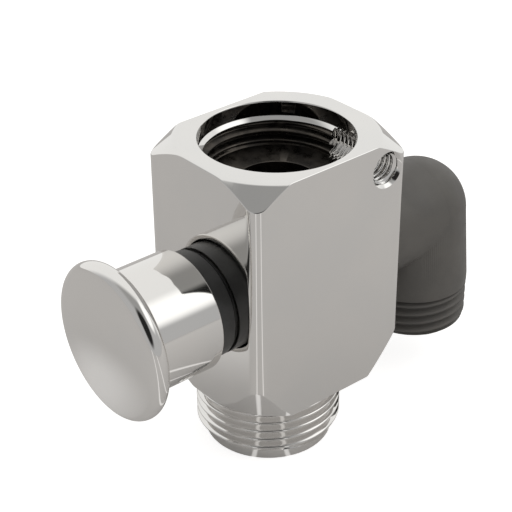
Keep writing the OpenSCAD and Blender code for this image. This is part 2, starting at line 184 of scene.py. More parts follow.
@dataclass
class Draft:
    """Points and faces of one piece while it is made, in millimetres."""

    points: list[Points] = field(default_factory=list)
    faces: list[tuple[int, ...]] = field(default_factory=list)
    skins: list[int] = field(default_factory=list)
    count: int = 0

    def put(self, ring: Points) -> int:
        """Adds points and returns the number of the first."""
        first = self.count
        self.points.append(ring)
        self.count += len(ring)
        return first

    def face(self, skin: Skin, *corners: int) -> None:
        """Adds one face."""
        self.faces.append(corners)
        self.skins.append(skin.value)

    def loft(self, rings: Sequence[Points], skin: Skin = Skin.OUTSIDE, joined: bool = False) -> None:
        """Joins rings of points one to the next.

        Args:
            rings: rings with as many points each, or of a single point that closes the shape.
            skin: the finish of the faces.
            joined: whether the last ring joins the first.
        """
        firsts = [(self.put(ring), len(ring)) for ring in rings]
        pairs = list(zip(firsts, firsts[1:]))
        if joined:
            pairs.append((firsts[-1], firsts[0]))
        for (a, size_a), (b, size_b) in pairs:
            columns = max(size_a, size_b)
            for i in range(columns):
                k = (i + 1) % columns
                if size_a == 1:
                    self.face(skin, a, b + k, b + i)
                elif size_b == 1:
                    self.face(skin, a + i, a + k, b)
                else:
                    self.face(skin, a + i, a + k, b + k, b + i)

    def turn(
        self,
        spindle: Spindle,
        profile: Sequence[tuple[float, float]],
        angles: Points,
        skin: Skin = Skin.OUTSIDE,
        joined: bool = False,
    ) -> None:
        """Turns a profile about a spindle.

        Args:
            spindle: the line to turn about.
            profile: radius and station of each point.
            angles: the columns' angles.
            skin: the finish of the faces.
            joined: whether the profile is a closed loop.
        """
        rings = [
            spindle.tip(s) if r < 1e-6 else spindle.ring(r, s, angles)
            for r, s in profile
        ]
        self.loft(rings, skin, joined)

    def build(self, name: str, weld: float = 0.0006) -> bpy.types.Object:
        """Makes the Blender object.

        Args:
            name: the piece's name.
            weld: points that are closer than this become one, in millimetres.

        Returns:
            The object, its faces all turned outwards.
        """
        mesh = bpy.data.meshes.new(name)
        mesh.from_pydata((np.concatenate(self.points) * MM).tolist(), [], self.faces)
        mesh.polygons.foreach_set("material_index", self.skins)
        shape = bmesh.new()
        shape.from_mesh(mesh)
        bmesh.ops.remove_doubles(shape, verts=shape.verts, dist=weld * MM)
        bmesh.ops.dissolve_degenerate(shape, edges=shape.edges, dist=0.5 * weld * MM)
        bmesh.ops.recalc_face_normals(shape, faces=shape.faces)
        shape.to_mesh(mesh)
        shape.free()
        piece = bpy.data.objects.new(name, mesh)
        bpy.context.scene.collection.objects.link(piece)
        return piece


@dataclass(frozen=True)
class Thread:
    """A right-handed screw thread, cut along a stretch of a turned piece.

    Attributes:
        crest: radius over the crests.
        depth: depth of the groove, below zero where it goes outwards as in a nut.
        pitch: distance from turn to turn.
        start: station at which the threaded stretch starts.
        end: station at which it ends.
        start_rim: radius at the start, reached over start_bevel.
        start_bevel: length of that bevel, or 0 where the groove fades out instead.
        end_rim: radius at the end, reached over end_bevel.
        end_bevel: length of that bevel, or 0 where the groove fades out instead.
        fade: length over which a groove fades out.
    """

    crest: float
    depth: float
    pitch: float
    start: float
    end: float
    start_rim: float = 0.0
    start_bevel: float = 0.0
    end_rim: float = 0.0
    end_bevel: float = 0.0
    fade: float = 0.9

    PHASES: ClassVar[tuple[float, ...]] = (
        0.0, 0.05, 0.1, 0.15, 0.25, 0.35, 0.4, 0.45, 0.5, 0.55, 0.6, 0.65, 0.75, 0.85, 0.9, 0.95,
    )

    def cut(self, draft: Draft, spindle: Spindle, angles: Points, skin: Skin = Skin.OUTSIDE) -> None:
        """Adds the threaded surface to a draft.

        Args:
            draft: the piece that the thread belongs to.
            spindle: the thread's axis.
            angles: the columns' angles, the same as those of the rings that it meets.
            skin: the finish of the faces.
        """
        per_turn = len(self.PHASES)
        turns = math.ceil((self.end - self.start) / self.pitch) + 1
        steps = range(-per_turn, turns * per_turn)
        phase = np.array([self.PHASES[j % per_turn] for j in steps])
        turn = np.array([j // per_turn for j in steps]) + phase
        along = self.start + (turn[:, None] + angles[None, :] / (2.0 * math.pi)) * self.pitch
        along = np.clip(along, self.start, self.end)
        flank = np.clip((1.0 - np.abs(2.0 * phase - 1.0) - 0.14) / 0.72, 0.0, 1.0)
        wave = 0.55 * flank + 0.45 * (0.5 - 0.5 * np.cos(math.pi * flank))
        radius = self.crest - self.depth * wave[:, None] * self._strength(along)
        radius = self._bevelled(radius, along)
        first = draft.put(spindle.place(
            (radius * np.cos(angles)).ravel(), (radius * np.sin(angles)).ravel(), along.ravel()
        ))
        rows, columns = radius.shape
        for j in range(rows - 1):
            for i in range(columns):
                k, lift = (i + 1, 0) if i + 1 < columns else (0, per_turn)
                if j + 1 + lift < rows:
                    low = first + j * columns
                    far = first + (j + lift) * columns
                    draft.face(skin, low + i, far + k, far + columns + k, low + columns + i)

    def _strength(self, along: Points) -> Points:
        """How much of its depth the groove has at each station."""
        out = np.ones_like(along)
        if self.start_bevel == 0.0:
            out = out * np.clip((along - self.start) / self.fade, 0.0, 1.0)
        if self.end_bevel == 0.0:
            out = out * np.clip((self.end - along) / self.fade, 0.0, 1.0)
        return out * out * (3.0 - 2.0 * out)

    def _bevelled(self, radius: Points, along: Points) -> Points:
        """Keeps the surface inside the bevels at the thread's two ends."""
        outer = self.depth > 0.0
        keep = np.minimum if outer else np.maximum
        if self.start_bevel > 0.0:
            slope = (self.crest - self.start_rim) / self.start_bevel
            radius = keep(radius, self.start_rim + slope * (along - self.start))
        if self.end_bevel > 0.0:
            slope = (self.crest - self.end_rim) / self.end_bevel
            radius = keep(radius, self.end_rim + slope * (self.end - along))
        return radius


def carve(piece: bpy.types.Object, tool: bpy.types.Object, how: str = "DIFFERENCE") -> None:
    """Cuts one closed mesh with another, or adds it, and removes the other.

    Args:
        piece: the object that stays.
        tool: the object that is used up.
        how: DIFFERENCE or UNION.
    """
    for material in piece.data.materials:
        tool.data.materials.append(material)
    step = piece.modifiers.new("step", "BOOLEAN")
    step.solver = "MANIFOLD"
    step.operation = how
    step.material_mode = "INDEX"
    step.object = tool
    bpy.context.view_layer.update()
    ready = piece.evaluated_get(bpy.context.evaluated_depsgraph_get())
    mesh = bpy.data.meshes.new_from_object(ready)
    piece.modifiers.clear()
    old = piece.data
    piece.data = mesh
    mesh.name = old.name
    bpy.data.meshes.remove(old)
    bpy.data.objects.remove(tool)


def polish(piece: bpy.types.Object, crease: float = 32.0) -> None:
    """Shades a piece smooth, with hard edges where it turns by more than an angle.

    Args:
        piece: the object.
        crease: the angle, in degrees.
    """
    shape = bmesh.new()
    shape.from_mesh(piece.data)
    bmesh.ops.dissolve_degenerate(shape, edges=shape.edges, dist=1e-7)
    for face in shape.faces:
        face.smooth = True
    limit = math.radians(crease)
    for edge in shape.edges:
        edge.smooth = len(edge.link_faces) == 2 and edge.calc_face_angle(0.0) < limit
    shape.to_mesh(piece.data)
    shape.free()
    step = piece.modifiers.new("even_shading", "WEIGHTED_NORMAL")
    step.mode = "FACE_AREA"
    step.weight = 60
    step.keep_sharp = True


class Nodes:
    """Adds and joins shader nodes in one tree."""

    def __init__(self, tree: bpy.types.NodeTree) -> None:
        """Starts with an empty tree."""
        self.tree = tree
        tree.nodes.clear()

    def add(self, kind: str, values: dict | None = None, **settings: object) -> bpy.types.Node:
        """Adds a node.

        Args:
            kind: the node's type.
            values: values of its sockets, by name or number; another node's socket is joined to it.
            settings: values of its own settings.

        Returns:
            The node.
        """
        node = self.tree.nodes.new(kind)
        for key, value in settings.items():
            setattr(node, key, value)
        for key, value in (values or {}).items():
            if isinstance(value, bpy.types.NodeSocket):
                self.tree.links.new(value, node.inputs[key])
            else:
                node.inputs[key].default_value = value
        return node

    def math(self, how: str, *terms: object) -> bpy.types.NodeSocket:
        """Adds a sum, product or the like and returns its result."""
        return self.add("ShaderNodeMath", dict(enumerate(terms)), operation=how).outputs[0]

    def ramp(
        self, value: bpy.types.NodeSocket, low: float, high: float, out_low: float, out_high: float
    ) -> bpy.types.NodeSocket:
        """Adds a smooth step from one value to another and returns its result.

        Args:
            value: what is read.
            low: where the step starts.
            high: where it ends.
            out_low: the result below the step.
            out_high: the result above it.

        Returns:
            The result's socket.
        """
        return self.add(
            "ShaderNodeMapRange",
            {"Value": value, "From Min": low, "From Max": high, "To Min": out_low, "To Max": out_high},
            interpolation_type="SMOOTHSTEP",
        ).outputs["Result"]

    def noise(
        self, scale: float, detail: float = 2.0, stretch: Colour = (1.0, 1.0, 1.0)
    ) -> bpy.types.NodeSocket:
        """Adds noise in the piece's own space.

        Args:
            scale: how fine it is, per metre.
            detail: how many finer layers it has.
            stretch: scale along each axis.

        Returns:
            The noise's value.
        """
        place = self.add("ShaderNodeTexCoord").outputs["Object"]
        place = self.add("ShaderNodeMapping", {"Vector": place, "Scale": stretch}).outputs[0]
        return self.add("ShaderNodeTexNoise", {"Vector": place, "Scale": scale, "Detail": detail}).outputs[0]

    def blend(self, share: object, low: object, high: object) -> bpy.types.NodeSocket:
        """Mixes two colours and returns the result."""
        node = self.add("ShaderNodeMix", data_type="RGBA")
        for socket, value in zip((node.inputs[0], node.inputs[6], node.inputs[7]), (share, low, high)):
            if isinstance(value, bpy.types.NodeSocket):
                self.tree.links.new(value, socket)
            else:
                socket.default_value = value
        return node.outputs[2]


def rgba(colour: Colour) -> tuple[float, float, float, float]:
    """A colour with full cover."""
    return (*colour, 1.0)


@dataclass(frozen=True)
class Finish:
    """A surface with a little variation in colour and gloss and a fine relief.

    Attributes:
        name: the material's name.
        slot: the record's material slot; not used.
        colour: main colour.
        second: colour that it drifts to.
        metallic: 1 for metal and 0 for anything else.
        rough: lowest and highest roughness.
        drift: how fine the drift of colour and gloss is, per metre.
        grain: how fine the relief is, per metre.
        relief: height of the relief, in millimetres.
        stretch: scale of the relief along each axis.
    """

    name: str
    slot: str
    colour: Colour
    second: Colour
    metallic: float
    rough: tuple[float, float]
    drift: float
    grain: float
    relief: float
    stretch: Colour = (1.0, 1.0, 1.0)

    def make(self) -> bpy.types.Material:
        """Builds the material."""
        material = bpy.data.materials.new(self.name)
        material.use_nodes = True
        nodes = Nodes(material.node_tree)
        cloud = nodes.noise(self.drift, 3.0)
        colour = nodes.blend(nodes.ramp(cloud, 0.35, 0.65, 0.0, 1.0), rgba(self.colour), rgba(self.second))
        gloss = nodes.ramp(nodes.noise(self.drift * 2.3, 4.0), 0.3, 0.7, *self.rough)
        height = nodes.noise(self.grain, 2.0, self.stretch)
        bump = nodes.add("ShaderNodeBump", {"Height": height, "Distance": self.relief * MM, "Strength": 1.0})
        surface = nodes.add("ShaderNodeBsdfPrincipled", {
            "Base Color": colour,
            "Metallic": self.metallic,
            "Roughness": gloss,
            "Normal": bump.outputs[0],
        })
        nodes.add("ShaderNodeOutputMaterial", {"Surface": surface.outputs[0]})
        return material


PLATING = Finish(
    "bright_plating", "chromed_brass", (0.79, 0.775, 0.755), (0.77, 0.76, 0.745), 1.0,
    (0.035, 0.06), 60.0, 90.0, 0.004,
)
KNOB_PLATING = Finish(
    "knob_plating", "chromed_knob", (0.8, 0.785, 0.765), (0.78, 0.77, 0.755), 1.0,
    (0.035, 0.06), 60.0, 90.0, 0.004,
)
# Painted shade: every bore face is coloured near black to stand in for the shade deep inside the holes, not
# for the metal's own colour.
BORE_PAINTED_SHADE = Finish(
    "bore_painted_shade", "chromed_brass", (0.085, 0.076, 0.066), (0.05, 0.046, 0.042), 1.0,
    (0.25, 0.42), 250.0, 900.0, 0.015,
)
COLLAR_PLASTIC = Finish(
    "collar_plastic", "dark_plastic", (0.035, 0.035, 0.034), (0.03, 0.03, 0.03), 0.0,
    (0.3, 0.38), 120.0, 3000.0, 0.004,
)
ELBOW_PLASTIC = Finish(
    "elbow_plastic", "grey_plastic", (0.098, 0.092, 0.083), (0.088, 0.083, 0.076), 0.0,
    (0.46, 0.56), 150.0, 2600.0, 0.01,
)
ACETAL = Finish(
    "white_acetal", "white_plastic", (0.8, 0.79, 0.75), (0.76, 0.75, 0.71), 0.0,
    (0.35, 0.45), 150.0, 1500.0, 0.01,
)
RUBBER = Finish(
    "black_rubber", "rubber", (0.028, 0.028, 0.028), (0.02, 0.02, 0.02), 0.0,
    (0.55, 0.7), 200.0, 2500.0, 0.02,
)
TURNED_STEEL = Finish(
    "turned_steel", "stainless_steel", (0.6, 0.6, 0.59), (0.52, 0.52, 0.51), 1.0,
    (0.22, 0.34), 200.0, 900.0, 0.006, (0.2, 6.0, 0.2),
)


class Workshop:
    """Keeps one material for each finish and dresses pieces with them."""

    def __init__(self) -> None:
        """Starts with no material made."""
        self.made: dict[str, bpy.types.Material] = {}

    def material(self, finish: Finish) -> bpy.types.Material:
        """The material of a finish, made when first asked for."""
        if finish.name not in self.made:
            self.made[finish.name] = finish.make()
        return self.made[finish.name]

    def dress(self, piece: bpy.types.Object, *finishes: Finish) -> None:
        """Gives a piece its materials in the order of its skins.

        Args:
            piece: the object.
            finishes: one finish for each skin.
        """
        slots = piece.data.materials
        for i, finish in enumerate(finishes):
            if i < len(slots):
                slots[i] = self.material(finish)
            else:
                slots.append(self.material(finish))

    def redress(self, node: bpy.types.Object, finish: Finish) -> None:
        """Gives a solid of the frame a better material in each of its material slots."""
        for slot in node.material_slots:
            slot.material = self.material(finish)
        if not node.material_slots:
            node.data.materials.append(self.material(finish))


def place(piece: bpy.types.Object, body: str, *nodes: str) -> bpy.types.Object:
    """Puts a finished piece on its body in the place of the solids that it stands for.

    Args:
        piece: the object.
        body: the body that it moves with.
        nodes: the solids that it replaces.

    Returns:
        The object.
    """
    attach(piece, body)
    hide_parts(*nodes)
    log.info("%s: %d faces on %s", piece.name, len(piece.data.polygons), body)
    return piece


@dataclass(frozen=True)
class ValveBody:
    """The square body with its bevels, inlet, outlet, cross bore and set screw hole."""

    half_width: float = 14.7
    half_depth: float = 16.9
    edge: float = 2.4
    bottom: float = 12.6
    top: float = 58.8
    crown_radius: float = 17.45
    crown_fall: float = 3.3
    crown_softness: float = 1.5
    base_radius: float = 17.1
    base_rise: float = 7.7
    softness: float = 0.32
    mouth: float = 13.45
    mouth_floor: float = 55.95
    ledge: float = 12.5
    ledge_floor: float = 55.2
    floor: float = 50.9
    floor_fall: float = 0.9
    chamber: float = 7.2
    chamber_floor: float = 45.2
    outlet_bore: float = 9.5
    outlet_depth: float = 18.4
    tip: float = 11.7
    tip_length: float = 2.0
    screw_y: float = 14.0
    screw_z: float = 53.8

    def columns(self) -> Points:
        """Angles of the body's columns, closer together at the four upright edges."""
        start = math.degrees(math.atan2(self.half_depth - self.edge, self.half_width))
        end = math.degrees(math.atan2(self.half_depth, self.half_width - self.edge))
        quarter = np.concatenate([
            np.arange(0.0, 30.0, 2.0),
            np.linspace(30.0, start, 16, endpoint=False),
            np.linspace(start, end, 18, endpoint=False),
            np.linspace(end, 78.0, 22, endpoint=False),
            np.arange(78.0, 90.0, 2.0),
        ])
        turn = np.concatenate([quarter, 180.0 - quarter[::-1], 180.0 + quarter, 360.0 - quarter[::-1]])
        turn = np.unique(np.round(turn % 360.0, 6))
        return np.radians(turn)

    def outline(self, angles: Points) -> Points:
        """Distance from the inlet's axis to the body's sides, at each angle."""
        c, s = np.abs(np.cos(angles)), np.abs(np.sin(angles))
        straight = np.minimum(
            self.half_width / np.maximum(c, 1e-9), self.half_depth / np.maximum(s, 1e-9)
        )
        cx, cy = self.half_width - self.edge, self.half_depth - self.edge
        along = cx * c + cy * s
        inside = np.maximum(along**2 - (cx**2 + cy**2 - self.edge**2), 0.0)
        arc = along + np.sqrt(inside)
        at_corner = (straight * c > cx) & (straight * s > cy)
        return np.where(at_corner, arc, straight)

    def bevel_rings(self, angles: Points, steps: int = 5) -> tuple[list[Points], list[Points]]:
        """Rings over the soft edges between the top or the underside and the sides.

        Args:
            angles: the columns' angles.
            steps: how many flats each soft edge has.

        Returns:
            The rings of the top, from the middle outwards, and of the underside, from the sides inwards.
        """
        reach = self.outline(angles)
        corner = math.hypot(self.half_width - self.edge, self.half_depth - self.edge) + self.edge
        axis = Spindle(Axis.UPRIGHT, (0.0, INLET_Y, 0.0))
        out: list[list[Points]] = []
        for radius, fall, level, sign, start_soft in (
            (self.crown_radius, self.crown_fall, self.top, 1.0, self.crown_softness),
            (self.base_radius, self.base_rise, self.bottom, -1.0, self.softness),
        ):
            slope = fall / (corner - radius)
            slant = math.sqrt(1.0 + slope * slope)
            soft = self.softness
            b_r = reach - soft
            split = math.atan(slope)
            first_r = radius - start_soft * (slant - 1.0) / slope
            bare = first_r >= b_r
            lean = np.arcsin(np.clip((b_r - first_r) / (start_soft - soft + 1e-9), 0.0, math.sin(split)))
            lean = np.where(bare, 0.0, np.where(start_soft > soft, lean, split))
            a_r = np.where(bare, b_r, first_r)
            met = a_r + start_soft * np.sin(lean)
            drop = start_soft * (1.0 - np.cos(lean))
            met = np.where(bare, b_r, met)
            b_z = -drop - soft * np.cos(lean) - slope * np.maximum(b_r + soft * np.sin(lean) - met, 0.0)
            rings = []
            for k in range(steps + 1):
                t = lean * k / steps
                rings.append(axis.ring(
                    a_r + np.where(bare, 0.0, start_soft) * np.sin(t),
                    level - sign * start_soft * (1.0 - np.cos(t)), angles,
                ))
            for k in range(steps + 1):
                t = lean + (0.5 * math.pi - lean) * k / steps
                height = level + sign * (b_z + soft * np.cos(t))
                rings.append(axis.ring(b_r + soft * np.sin(t), height, angles))
            out.append(rings if sign > 0.0 else rings[::-1])
        return out[0], out[1]

    def block(self) -> bpy.types.Object:
        """The body with its inlet and outlet, before the cross bore."""
        draft = Draft()
        angles = self.columns()
        inlet = Spindle(Axis.UPRIGHT, (0.0, INLET_Y, 0.0))
        outlet = Spindle(Axis.UPRIGHT, (0.0, 0.0, 0.0))
        inner = Thread(
            12.1, -1.12, 1.814, self.floor, self.ledge_floor,
            end_rim=13.24, end_bevel=0.56, fade=0.7,
        )
        outer = Thread(
            13.22, 1.16, 1.814, self.tip_length, self.bottom,
            start_rim=self.tip, start_bevel=0.76, fade=0.9,
        )
        draft.turn(inlet, [
            (0.0, self.chamber_floor - 1.7),
            (self.chamber, self.chamber_floor),
            (self.chamber, self.floor - self.floor_fall),
            (self.chamber + 0.2, self.floor - self.floor_fall + 0.1),
            (inner.crest - 0.3, self.floor - 0.05),
            (inner.crest, self.floor),
        ], angles, Skin.BORE)
        inner.cut(draft, inlet, angles, Skin.BORE)
        mouth = rounded([
            (inner.end_rim, self.ledge_floor, 0.0),
            (self.ledge, self.ledge_floor, 0.12),
            (self.mouth, self.mouth_floor, 0.1),
            (self.mouth, self.top, 0.3),
            (self.mouth + 0.9, self.top, 0.0),
        ], 4)
        draft.turn(inlet, mouth, angles)
        top, base = self.bevel_rings(angles)
        draft.loft([inlet.ring(self.mouth + 0.9, self.top, angles), *top, *base])
        draft.loft([base[-1], outlet.ring(outer.crest, self.bottom, angles)])
        outer.cut(draft, outlet, angles)
        draft.turn(outlet, rounded([
            (self.tip, self.tip_length, 0.0),
            (self.tip, 0.0, 0.35),
            (self.outlet_bore, 0.0, 0.35),
            (self.outlet_bore, 3.0, 0.0),
        ], 4), angles)
        draft.turn(outlet, [
            (self.outlet_bore, 3.0),
            (self.outlet_bore, self.outlet_depth),
            (0.0, self.outlet_depth + 2.28),
        ], angles, Skin.BORE)
        return draft.build("body")

    def bores(self) -> list[bpy.types.Object]:
        """Cutters of the stepped cross bore and of the two ports that lead to it."""
        cross = Draft()
        cross.turn(Spindle(Axis.CROSS), [
            (0.0, -15.7), (9.0, -15.7), (9.0, -9.7), (8.0, -9.7), (8.0, 11.3), (6.0, 11.3),
            (6.0, 12.6), (8.33, 12.6), (8.33, 18.6), (9.83, 20.1), (0.0, 20.1),
        ], even_angles(96), Skin.BORE)
        out = [cross.build("cross_bore")]
        for y, low, high in ((4.6, AXIS_HEIGHT, 45.3), (-5.4, 18.3, AXIS_HEIGHT)):
            port = Draft()
            port.turn(
                Spindle(Axis.UPRIGHT, (0.0, y, 0.0)),
                [(0.0, low), (3.2, low), (3.2, high), (0.0, high)],
                even_angles(48), Skin.BORE,
            )
            out.append(port.build("port"))
        return out

    def screw_cutter(self) -> bpy.types.Object:
        """Cutter of the threaded set screw hole with its countersink."""
        draft = Draft()
        angles = even_angles(72)
        axis = Spindle(Axis.SIDEWAYS, (0.0, self.screw_y, self.screw_z))
        face = self.half_width
        thread = Thread(2.5, -0.52, 1.0, 0.0, face - 0.75, end_rim=3.06, end_bevel=0.3, fade=0.5)
        draft.turn(axis, [(0.0, 0.0), (2.5, 0.0)], angles)
        thread.cut(draft, axis, angles)
        draft.turn(axis, rounded([
            (3.06, face - 0.75, 0.0),
            (2.75, face - 0.55, 0.05),
            (3.22, face - 0.1, 0.05),
            (3.5, face + 0.15, 0.0),
            (3.5, face + 1.0, 0.0),
            (0.0, face + 1.0, 0.0),
        ], 3), angles)
        return draft.build("screw_hole")

    def make(self, shop: Workshop) -> None:
        """Builds the body and puts it in its place."""
        body = self.block()
        # The bore faces get the near-black painted shade.
        shop.dress(body, PLATING, BORE_PAINTED_SHADE)
        for tool in self.bores():
            carve(body, tool)
        carve(body, self.screw_cutter())
        polish(body)
        place(body, "valve", "valve_body")


@dataclass(frozen=True)
class Knob:
    """The plated push knob: a domed disc with a round rim, and its hollow skirt."""

    disc: float = 14.15
    bead: float = 1.8
    dome: float = 1.1
    disc_back: float = -31.4
    skirt: float = 10.9
    skirt_end: float = -18.5
    cavity: float = 10.0
    cavity_end: float = -34.05

    def profile(self) -> list[tuple[float, float]]:
        """The knob's profile, from the middle of its front to the middle of its cavity."""
        base = self.disc - self.bead
        plane = self.disc_back - self.bead
        lean = 2.0 * math.atan(self.dome / base)
        sphere = base / math.sin(lean) + self.bead
        middle = plane + base / math.tan(lean)
        front = [
            (sphere * math.sin(a), middle - sphere * math.cos(a))
            for a in np.linspace(0.0, lean, 16, endpoint=False)
        ]
        rim = [
            (base + self.bead * math.sin(a), plane - self.bead * math.cos(a))
            for a in np.linspace(lean, math.pi, 26)
        ]
        skirt = rounded([
            (base, self.disc_back, 0.0),
            (self.skirt, self.disc_back, 0.7),
            (self.skirt, self.skirt_end, 0.28),
            (self.cavity, self.skirt_end, 0.2),
            (self.cavity, self.cavity_end, 0.3),
            (0.0, self.cavity_end, 0.0),
        ], 5)
        return front + rim + skirt[1:]

    def make(self, shop: Workshop) -> None:
        """Builds the knob and puts it in its place."""
        draft = Draft()
        draft.turn(Spindle(Axis.CROSS), self.profile(), even_angles(200))
        knob = draft.build("knob")
        polish(knob)
        shop.dress(knob, KNOB_PLATING)
        place(knob, "knob", "knob_cap")


@dataclass(frozen=True)
class Collar:
    """The dark collar that guides the knob, with its spring pocket and stem gland."""

    neck: float = 9.7
    front: float = -22.9
    face: float = -14.75
    end: float = -9.75

    def make(self, shop: Workshop) -> None:
        """Builds the collar and puts it in its place."""
        profile = rounded([
            (9.2, self.face, 0.0),
            (9.2, self.face - 0.4, 0.0),
            (self.neck, self.face - 0.4, 0.12),
            (self.neck, self.front, 0.4),
            (7.0, self.front, 0.2),
            (7.0, -17.5, 0.15),
            (1.98, -17.5, 0.1),
            (1.98, -14.55, 0.0),
            (3.78, -14.55, 0.0),
            (3.78, self.end, 0.0),
            (7.3, self.end, 0.15),
            (7.3, self.end - 1.85, 0.0),
            (8.95, self.end - 1.85, 0.15),
            (8.95, self.face, 0.0),
        ], 4)
        draft = Draft()
        draft.turn(Spindle(Axis.CROSS), profile, even_angles(128), joined=True)
        collar = draft.build("collar")
        polish(collar)
        shop.dress(collar, COLLAR_PLASTIC)
        place(collar, "valve", "bonnet_collar")


@dataclass(frozen=True)
class Elbow:
    """The moulded hose elbow: spigot, arm, round corner, and leg with its thread."""

    axis_y: float = 36.7
    arm: float = 9.5
    shoulder: float = 10.53
    end: float = 9.3
    thread_top: float = 17.2
    face: float = 19.15
    spigot_end: float = 12.9
    spigot: float = 8.28
    ring_groove: float = 6.71
    arm_bore: float = 5.4
    leg_bore: float = 7.0

    def leg(self) -> bpy.types.Object:
        """The leg with its thread and the ball that makes the corner."""
        draft = Draft()
        angles = even_angles(160)
        axis = Spindle(Axis.UPRIGHT, (0.0, self.axis_y, 0.0))
        thread = Thread(
            10.48, 1.15, 1.814, self.end, self.thread_top,
            start_rim=9.25, start_bevel=0.62, end_rim=9.3, end_bevel=0.25,
        )
        draft.turn(axis, [(0.0, self.end), (9.25, self.end)], angles)
        thread.cut(draft, axis, angles)
        draft.turn(axis, rounded([
            (9.3, self.thread_top, 0.0),
            (self.shoulder, self.thread_top + 0.1, 0.3),
            (self.shoulder, self.thread_top + 1.6, 3.0),
            (self.arm + 0.028, AXIS_HEIGHT, 0.0),
        ], 5), angles)
        ball = self.arm + 0.028
        draft.turn(axis, [
            (ball * math.cos(a), AXIS_HEIGHT + ball * math.sin(a))
            for a in np.linspace(0.0, 0.5 * math.pi, 33)
        ], angles)
        return draft.build("elbow")

    def arm_tube(self) -> bpy.types.Object:
        """The arm and the spigot that seals in the body."""
        draft = Draft()
        draft.turn(Spindle(Axis.CROSS), rounded([
            (0.0, self.spigot_end, 0.0),
            (self.spigot, self.spigot_end, 0.4),
            (self.spigot, self.spigot_end + 0.85, 0.1),
            (self.ring_groove, self.spigot_end + 0.85, 0.1),
            (self.ring_groove, self.spigot_end + 2.75, 0.1),
            (self.spigot, self.spigot_end + 2.75, 0.1),
            (self.spigot, self.face, 0.0),
            (self.arm, self.face, 0.25),
            (self.arm, self.axis_y - 0.4, 0.0),
            (0.0, self.axis_y - 0.4, 0.0),
        ], 4), even_angles(160))
        return draft.build("arm")

    def bores(self) -> list[bpy.types.Object]:
        """Cutters of the arm's and the leg's bores."""
        arm, leg = Draft(), Draft()
        angles = even_angles(96)
        arm.turn(Spindle(Axis.CROSS), [
            (0.0, self.spigot_end - 1.0), (self.arm_bore, self.spigot_end - 1.0),
            (self.arm_bore, self.axis_y), (0.0, self.axis_y),
        ], angles)
        ball = self.leg_bore + 0.03
        profile = rounded([
            (0.0, self.end - 1.0, 0.0),
            (self.leg_bore + 0.4, self.end - 1.0, 0.0),
            (self.leg_bore + 0.4, self.end, 0.0),
            (self.leg_bore, self.end + 0.4, 0.1),
            (self.leg_bore, AXIS_HEIGHT, 0.0),
        ], 3)
        profile += [
            (ball * math.cos(a), AXIS_HEIGHT + ball * math.sin(a))
            for a in np.linspace(0.0, 0.5 * math.pi, 17)
        ]
        leg.turn(Spindle(Axis.UPRIGHT, (0.0, self.axis_y, 0.0)), profile, angles)
        return [arm.build("arm_bore"), leg.build("leg_bore")]

    def make(self, shop: Workshop) -> None:
        """Builds the elbow and puts it in its place."""
        elbow = self.leg()
        carve(elbow, self.arm_tube(), "UNION")
        for tool in self.bores():
            carve(elbow, tool)
        polish(elbow, 50.0)
        shop.dress(elbow, ELBOW_PLASTIC)
        place(elbow, "valve", "hose_elbow")


@dataclass(frozen=True)
class ReturnSpring:
    """The wire spring between the knob's core and the collar."""

    start: float = -28.95
    end: float = -18.6
    wire: float = 0.45
    coil: float = 5.6
    turns: float = 4.0
    flat: float = 0.75
    travel: float = 3.3

    def make(self, shop: Workshop) -> None:
        """Builds the spring at its length with the knob out, and puts it in its place."""
        total = self.turns + 2.0 * self.flat
        wire_width = 2.0 * self.wire
        rise = self.end - self.start - 2.0 * wire_width * self.flat
        angles = even_angles(14)
        rings = []
        for t in np.linspace(0.0, total, int(total * 36)):
            if t < self.flat:
                y = wire_width * t
            elif t > total - self.flat:
                y = wire_width * (t - total + 2.0 * self.flat) + rise
            else:
                y = wire_width * self.flat + rise * (t - self.flat) / self.turns
            r = self.coil + self.wire * np.cos(angles)
            a = 2.0 * math.pi * t
            rings.append(np.stack([
                r * math.cos(a),
                self.start + y + self.wire * np.sin(angles),
                AXIS_HEIGHT + r * math.sin(a),
            ], 1))
        ends = [ring.mean(0, keepdims=True) for ring in (rings[0], rings[-1])]
        draft = Draft()
        draft.loft([ends[0], *rings, ends[1]])
        spring = draft.build("spring")
        polish(spring)
        shop.dress(spring, TURNED_STEEL)
        place(spring, "valve", "return_spring")
        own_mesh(spring)


INNER_FINISHES = {
    "bonnet_o_ring": RUBBER,
    "stem_o_ring_front": RUBBER,
    "stem_o_ring_rear": RUBBER,
    "sleeve_o_ring_middle": RUBBER,
    "sleeve_o_ring_rear": RUBBER,
    "elbow_o_ring": RUBBER,
    "poppet_seal_front": RUBBER,
    "poppet_seal_rear": RUBBER,
    "gland_washer": TURNED_STEEL,
    "spring_washer": TURNED_STEEL,
    "stem": TURNED_STEEL,
    "poppet_washer": TURNED_STEEL,
    "stem_nut": TURNED_STEEL,
    "cartridge_sleeve": ACETAL,
    "rear_seat_ring": ACETAL,
    "knob_core": ACETAL,
    "poppet": ACETAL,
}


